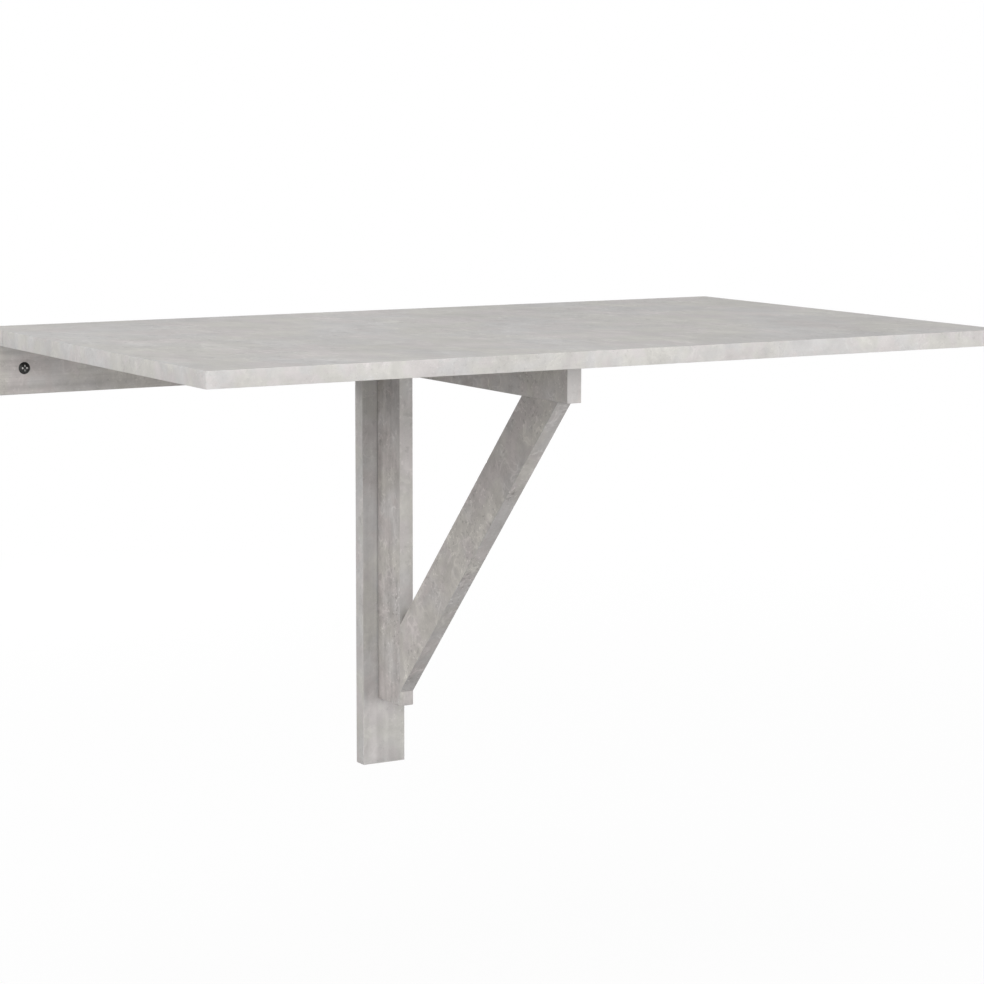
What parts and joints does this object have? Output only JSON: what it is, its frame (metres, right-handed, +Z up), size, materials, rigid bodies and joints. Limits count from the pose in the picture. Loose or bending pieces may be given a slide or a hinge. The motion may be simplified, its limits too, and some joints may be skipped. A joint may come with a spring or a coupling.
{
  "type": "wall mounted drop leaf table",
  "caption": "Wall mounted drop leaf table in concrete-effect board: a hinged leaf on a wall rail, carried by a swinging gate with a slanted brace.",
  "frame": {"origin": "on the wall plane, in the middle of the line of wall screws through the rail", "axes": "+X along the wall to the right, +Y into the wall, +Z up"},
  "size_m": [1, 0.632, 0.56],
  "materials": {
    "concrete_board": "matt concrete-effect laminate on particle board",
    "edge_band": "matt concrete-effect edge band",
    "zinc_steel": "zinc plated pressed steel",
    "black_screw": "black phosphated steel",
    "beech": "fluted beech",
    "nylon": "moulded nylon"
  },
  "bodies": {
    "frame": {"frame_dowels": "beech", "gate_hinge_lower_pin": "zinc_steel", "gate_hinge_lower_post_plate": "zinc_steel", "gate_hinge_upper_pin": "zinc_steel", "gate_hinge_upper_post_plate": "zinc_steel", "leaf_hinge_centre_pin": "zinc_steel", "leaf_hinge_centre_strip_plate": "zinc_steel", "leaf_hinge_left_pin": "zinc_steel", "leaf_hinge_left_strip_plate": "zinc_steel", "leaf_hinge_right_pin": "zinc_steel", "leaf_hinge_right_strip_plate": "zinc_steel", "post": "concrete_board", "post_edge_band": "edge_band", "post_hinge_screws": "zinc_steel", "post_screws": "zinc_steel", "rail_edge_band": "edge_band", "shelf_strip": "concrete_board", "strip_edge_band": "edge_band", "strip_hinge_screws": "zinc_steel", "wall_block": "concrete_board", "wall_rail": "concrete_board", "wall_screws": "black_screw"},
    "leaf": {"leaf": "concrete_board", "leaf_edge_band": "edge_band", "leaf_hinge_screws": "zinc_steel", "leaf_hinge_centre_leaf_plate": "zinc_steel", "leaf_hinge_left_leaf_plate": "zinc_steel", "leaf_hinge_right_leaf_plate": "zinc_steel"},
    "gate": {"gate_stile": "concrete_board", "stile_edge_band": "edge_band", "gate_arm": "concrete_board", "arm_edge_band": "edge_band", "gate_brace": "concrete_board", "brace_edge_bands": "edge_band", "gate_dowels": "beech", "gate_hinge_screws": "zinc_steel", "arm_glide": "nylon", "gate_hinge_lower_gate_plate": "zinc_steel", "gate_hinge_upper_gate_plate": "zinc_steel"}
  },
  "joints": [
    {"name": "gate_swing", "type": "hinge", "parent": "frame", "child": "gate", "pos_m": [0.01175, -0.03875, 0], "axis": [0, 0, 1], "range_deg": [0, 90]},
    {"name": "leaf_lift", "type": "hinge", "parent": "frame", "child": "leaf", "pos_m": [0, -0.06075, 0.02725], "axis": [-1, 0, 0], "range_deg": [0, 3]}
  ]
}
